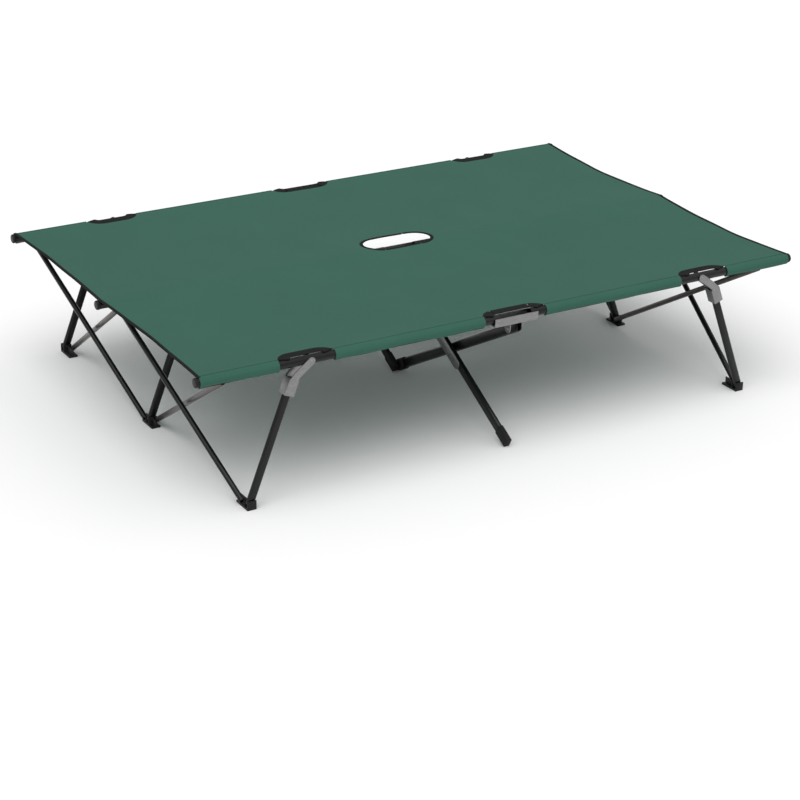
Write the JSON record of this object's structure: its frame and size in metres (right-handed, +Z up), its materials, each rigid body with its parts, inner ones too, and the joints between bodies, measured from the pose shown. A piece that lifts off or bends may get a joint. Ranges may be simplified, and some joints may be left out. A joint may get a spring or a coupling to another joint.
{
  "type": "folding cot",
  "caption": "Folding double camping cot: three lengthwise rails on crossed centre legs and swinging end legs, with a cloth cover that has a hand hole and edge notches.",
  "frame": {"origin": "on the floor, under the middle of the cot", "axes": "+X along the length, +Y from the front rail to the back rail, +Z up"},
  "size_m": [1.93, 1.2598, 0.4049],
  "materials": {
    "cloth": "matt woven polyester",
    "black_steel": "gloss black powder coat",
    "zinc": "zinc plated, satin",
    "plastic": "moulded, semi-matt",
    "rubber": "matt"
  },
  "bodies": {
    "root": {"middle_rail_bracket": "zinc", "cover_centre_front": "cloth", "cover_centre_back": "cloth"},
    "centre_leg_front_to_foot": {"centre_leg_front_to_foot": "black_steel", "centre_foot_cap_front_to_foot": "rubber", "centre_lock_plate_front": "zinc"},
    "centre_leg_front_to_rail": {"centre_leg_front_to_rail": "black_steel", "centre_foot_cap_front_to_rail": "rubber"},
    "front_rail_bracket": {"front_rail_bracket": "zinc"},
    "centre_leg_back_to_foot": {"centre_leg_back_to_foot": "black_steel", "centre_foot_cap_back_to_foot": "rubber", "centre_lock_plate_back": "zinc"},
    "centre_leg_back_to_rail": {"centre_leg_back_to_rail": "black_steel", "centre_foot_cap_back_to_rail": "rubber"},
    "back_rail_bracket": {"back_rail_bracket": "zinc"},
    "middle_rail_left": {"middle_rail_left": "black_steel", "middle_rail_cap_left": "plastic", "cover_left": "cloth"},
    "front_rail_left": {"front_rail_left": "black_steel", "front_rail_cap_left": "plastic"},
    "back_rail_left": {"back_rail_left": "black_steel", "back_rail_cap_left": "plastic"},
    "end_leg_front_left": {"end_leg_front_left": "black_steel", "end_leg_bracket_front_left": "zinc"},
    "foot_shoe_front_left": {"foot_shoe_front_left": "plastic"},
    "end_leg_middle_left": {"end_leg_middle_left": "black_steel", "end_leg_bracket_middle_left": "zinc"},
    "foot_shoe_middle_left": {"foot_shoe_middle_left": "plastic"},
    "end_leg_back_left": {"end_leg_back_left": "black_steel", "end_leg_bracket_back_left": "zinc"},
    "foot_shoe_back_left": {"foot_shoe_back_left": "plastic"},
    "end_tube_front_out_left": {"end_tube_front_out_left": "black_steel"},
    "end_tube_front_in_left": {"end_tube_front_in_left": "black_steel"},
    "end_tube_back_out_left": {"end_tube_back_out_left": "black_steel"},
    "end_tube_back_in_left": {"end_tube_back_in_left": "black_steel"},
    "middle_rail_right": {"middle_rail_right": "black_steel", "middle_rail_cap_right": "plastic", "cover_right": "cloth"},
    "front_rail_right": {"front_rail_right": "black_steel", "front_rail_cap_right": "plastic"},
    "back_rail_right": {"back_rail_right": "black_steel", "back_rail_cap_right": "plastic"},
    "end_leg_front_right": {"end_leg_front_right": "black_steel", "end_leg_bracket_front_right": "zinc"},
    "foot_shoe_front_right": {"foot_shoe_front_right": "plastic"},
    "end_leg_middle_right": {"end_leg_middle_right": "black_steel", "end_leg_bracket_middle_right": "zinc"},
    "foot_shoe_middle_right": {"foot_shoe_middle_right": "plastic"},
    "end_leg_back_right": {"end_leg_back_right": "black_steel", "end_leg_bracket_back_right": "zinc"},
    "foot_shoe_back_right": {"foot_shoe_back_right": "plastic"},
    "end_tube_front_out_right": {"end_tube_front_out_right": "black_steel"},
    "end_tube_front_in_right": {"end_tube_front_in_right": "black_steel"},
    "end_tube_back_out_right": {"end_tube_back_out_right": "black_steel"},
    "end_tube_back_in_right": {"end_tube_back_in_right": "black_steel"}
  },
  "joints": [
    {"name": "width_fold", "type": "hinge", "parent": "root", "child": "centre_leg_front_to_foot", "pos_m": [-0.0096, 0, 0.35637], "axis": [1, 0, 0], "range_deg": [0, 51.53]},
    {"name": "front_cross_pivot", "type": "hinge", "parent": "centre_leg_front_to_foot", "child": "centre_leg_front_to_rail", "pos_m": [0, -0.306, 0.18669], "axis": [1, 0, 0], "range_deg": [-103.11, 0]},
    {"name": "front_bracket_pivot", "type": "hinge", "parent": "centre_leg_front_to_rail", "child": "front_rail_bracket", "pos_m": [0.0096, -0.612, 0.35637], "axis": [1, 0, 0], "range_deg": [0, 51.58]},
    {"name": "back_leg_pivot", "type": "hinge", "parent": "root", "child": "centre_leg_back_to_foot", "pos_m": [0.0096, 0, 0.35637], "axis": [1, 0, 0], "range_deg": [-51.58, 0]},
    {"name": "back_cross_pivot", "type": "hinge", "parent": "centre_leg_back_to_foot", "child": "centre_leg_back_to_rail", "pos_m": [0, 0.306, 0.18669], "axis": [1, 0, 0], "range_deg": [0, 103.11]},
    {"name": "back_bracket_pivot", "type": "hinge", "parent": "centre_leg_back_to_rail", "child": "back_rail_bracket", "pos_m": [-0.0096, 0.612, 0.35637], "axis": [1, 0, 0], "range_deg": [-51.58, 0]},
    {"name": "left_half_fold", "type": "hinge", "parent": "root", "child": "middle_rail_left", "pos_m": [-0.058, 0, 0.39], "axis": [0, 1, 0], "range_deg": [0, 90]},
    {"name": "front_left_rail_fold", "type": "hinge", "parent": "front_rail_bracket", "child": "front_rail_left", "pos_m": [-0.058, -0.612, 0.39], "axis": [0, 1, 0], "range_deg": [0, 90.05]},
    {"name": "back_left_rail_fold", "type": "hinge", "parent": "back_rail_bracket", "child": "back_rail_left", "pos_m": [-0.058, 0.612, 0.39], "axis": [0, 1, 0], "range_deg": [0, 90.05]},
    {"name": "end_leg_front_left_pivot", "type": "hinge", "parent": "front_rail_left", "child": "end_leg_front_left", "pos_m": [-0.635, -0.612, 0.39], "axis": [0, -1, 0], "range_deg": [0, 111.49]},
    {"name": "foot_shoe_front_left_pivot", "type": "hinge", "parent": "end_leg_front_left", "child": "foot_shoe_front_left", "pos_m": [-0.811, -0.612, 0.02], "axis": [0, -1, 0], "range_deg": [-31.52, 0]},
    {"name": "end_leg_middle_left_pivot", "type": "hinge", "parent": "middle_rail_left", "child": "end_leg_middle_left", "pos_m": [-0.635, 0, 0.39], "axis": [0, -1, 0], "range_deg": [0, 111.49]},
    {"name": "foot_shoe_middle_left_pivot", "type": "hinge", "parent": "end_leg_middle_left", "child": "foot_shoe_middle_left", "pos_m": [-0.811, 0, 0.02], "axis": [0, -1, 0], "range_deg": [-31.52, 0]},
    {"name": "end_leg_back_left_pivot", "type": "hinge", "parent": "back_rail_left", "child": "end_leg_back_left", "pos_m": [-0.635, 0.612, 0.39], "axis": [0, -1, 0], "range_deg": [0, 111.49]},
    {"name": "foot_shoe_back_left_pivot", "type": "hinge", "parent": "end_leg_back_left", "child": "foot_shoe_back_left", "pos_m": [-0.811, 0.612, 0.02], "axis": [0, -1, 0], "range_deg": [-31.52, 0]},
    {"name": "end_tube_front_out_left_pivot", "type": "hinge", "parent": "foot_shoe_front_left", "child": "end_tube_front_out_left", "pos_m": [-0.82175, -0.58, 0.01768], "axis": [0.9775, 0, 0.2109], "range_deg": [0, 52.63]},
    {"name": "end_tube_front_in_left_pivot", "type": "hinge", "parent": "foot_shoe_middle_left", "child": "end_tube_front_in_left", "pos_m": [-0.80025, -0.023, 0.02232], "axis": [-0.9775, 0, -0.2109], "range_deg": [0, 52.32]},
    {"name": "end_tube_back_out_left_pivot", "type": "hinge", "parent": "foot_shoe_middle_left", "child": "end_tube_back_out_left", "pos_m": [-0.82175, 0.023, 0.01768], "axis": [0.9775, 0, 0.2109], "range_deg": [0, 52.32]},
    {"name": "end_tube_back_in_left_pivot", "type": "hinge", "parent": "foot_shoe_back_left", "child": "end_tube_back_in_left", "pos_m": [-0.80025, 0.58, 0.02232], "axis": [-0.9775, 0, -0.2109], "range_deg": [0, 52.63]},
    {"name": "right_half_fold", "type": "hinge", "parent": "root", "child": "middle_rail_right", "pos_m": [0.058, 0, 0.39], "axis": [0, -1, 0], "range_deg": [0, 90]},
    {"name": "front_right_rail_fold", "type": "hinge", "parent": "front_rail_bracket", "child": "front_rail_right", "pos_m": [0.058, -0.612, 0.39], "axis": [0, -1, 0], "range_deg": [0, 90.05]},
    {"name": "back_right_rail_fold", "type": "hinge", "parent": "back_rail_bracket", "child": "back_rail_right", "pos_m": [0.058, 0.612, 0.39], "axis": [0, -1, 0], "range_deg": [0, 90.05]},
    {"name": "end_leg_front_right_pivot", "type": "hinge", "parent": "front_rail_right", "child": "end_leg_front_right", "pos_m": [0.635, -0.612, 0.39], "axis": [0, 1, 0], "range_deg": [0, 111.49]},
    {"name": "foot_shoe_front_right_pivot", "type": "hinge", "parent": "end_leg_front_right", "child": "foot_shoe_front_right", "pos_m": [0.811, -0.612, 0.02], "axis": [0, 1, 0], "range_deg": [-31.52, 0]},
    {"name": "end_leg_middle_right_pivot", "type": "hinge", "parent": "middle_rail_right", "child": "end_leg_middle_right", "pos_m": [0.635, 0, 0.39], "axis": [0, 1, 0], "range_deg": [0, 111.49]},
    {"name": "foot_shoe_middle_right_pivot", "type": "hinge", "parent": "end_leg_middle_right", "child": "foot_shoe_middle_right", "pos_m": [0.811, 0, 0.02], "axis": [0, 1, 0], "range_deg": [-31.52, 0]},
    {"name": "end_leg_back_right_pivot", "type": "hinge", "parent": "back_rail_right", "child": "end_leg_back_right", "pos_m": [0.635, 0.612, 0.39], "axis": [0, 1, 0], "range_deg": [0, 111.49]},
    {"name": "foot_shoe_back_right_pivot", "type": "hinge", "parent": "end_leg_back_right", "child": "foot_shoe_back_right", "pos_m": [0.811, 0.612, 0.02], "axis": [0, 1, 0], "range_deg": [-31.52, 0]},
    {"name": "end_tube_front_out_right_pivot", "type": "hinge", "parent": "foot_shoe_front_right", "child": "end_tube_front_out_right", "pos_m": [0.82175, -0.58, 0.01768], "axis": [0.9775, 0, -0.2109], "range_deg": [0, 52.63]},
    {"name": "end_tube_front_in_right_pivot", "type": "hinge", "parent": "foot_shoe_middle_right", "child": "end_tube_front_in_right", "pos_m": [0.80025, -0.023, 0.02232], "axis": [-0.9775, 0, 0.2109], "range_deg": [0, 52.32]},
    {"name": "end_tube_back_out_right_pivot", "type": "hinge", "parent": "foot_shoe_middle_right", "child": "end_tube_back_out_right", "pos_m": [0.82175, 0.023, 0.01768], "axis": [0.9775, 0, -0.2109], "range_deg": [0, 52.32]},
    {"name": "end_tube_back_in_right_pivot", "type": "hinge", "parent": "foot_shoe_back_right", "child": "end_tube_back_in_right", "pos_m": [0.80025, 0.58, 0.02232], "axis": [-0.9775, 0, 0.2109], "range_deg": [0, 52.63]}
  ],
  "couplings": [
    {"joint": "front_cross_pivot", "follows": "width_fold", "ratio": -2},
    {"joint": "front_bracket_pivot", "follows": "width_fold", "ratio": 1},
    {"joint": "back_leg_pivot", "follows": "width_fold", "ratio": -1},
    {"joint": "back_cross_pivot", "follows": "width_fold", "ratio": 2},
    {"joint": "back_bracket_pivot", "follows": "width_fold", "ratio": -1},
    {"joint": "front_left_rail_fold", "follows": "left_half_fold", "ratio": 1},
    {"joint": "back_left_rail_fold", "follows": "left_half_fold", "ratio": 1},
    {"joint": "end_leg_front_left_pivot", "follows": "width_fold", "ratio": 2.1625},
    {"joint": "foot_shoe_front_left_pivot", "follows": "width_fold", "ratio": -0.61076},
    {"joint": "end_leg_middle_left_pivot", "follows": "width_fold", "ratio": 2.1625},
    {"joint": "foot_shoe_middle_left_pivot", "follows": "width_fold", "ratio": -0.61076},
    {"joint": "end_leg_back_left_pivot", "follows": "width_fold", "ratio": 2.1625},
    {"joint": "foot_shoe_back_left_pivot", "follows": "width_fold", "ratio": -0.61076},
    {"joint": "end_tube_front_out_left_pivot", "follows": "width_fold", "ratio": 1.0203},
    {"joint": "end_tube_front_in_left_pivot", "follows": "width_fold", "ratio": 1.0144},
    {"joint": "end_tube_back_out_left_pivot", "follows": "width_fold", "ratio": 1.0144},
    {"joint": "end_tube_back_in_left_pivot", "follows": "width_fold", "ratio": 1.0203},
    {"joint": "front_right_rail_fold", "follows": "right_half_fold", "ratio": 1},
    {"joint": "back_right_rail_fold", "follows": "right_half_fold", "ratio": 1},
    {"joint": "end_leg_front_right_pivot", "follows": "width_fold", "ratio": 2.1625},
    {"joint": "foot_shoe_front_right_pivot", "follows": "width_fold", "ratio": -0.61076},
    {"joint": "end_leg_middle_right_pivot", "follows": "width_fold", "ratio": 2.1625},
    {"joint": "foot_shoe_middle_right_pivot", "follows": "width_fold", "ratio": -0.61076},
    {"joint": "end_leg_back_right_pivot", "follows": "width_fold", "ratio": 2.1625},
    {"joint": "foot_shoe_back_right_pivot", "follows": "width_fold", "ratio": -0.61076},
    {"joint": "end_tube_front_out_right_pivot", "follows": "width_fold", "ratio": 1.0203},
    {"joint": "end_tube_front_in_right_pivot", "follows": "width_fold", "ratio": 1.0144},
    {"joint": "end_tube_back_out_right_pivot", "follows": "width_fold", "ratio": 1.0144},
    {"joint": "end_tube_back_in_right_pivot", "follows": "width_fold", "ratio": 1.0203}
  ]
}
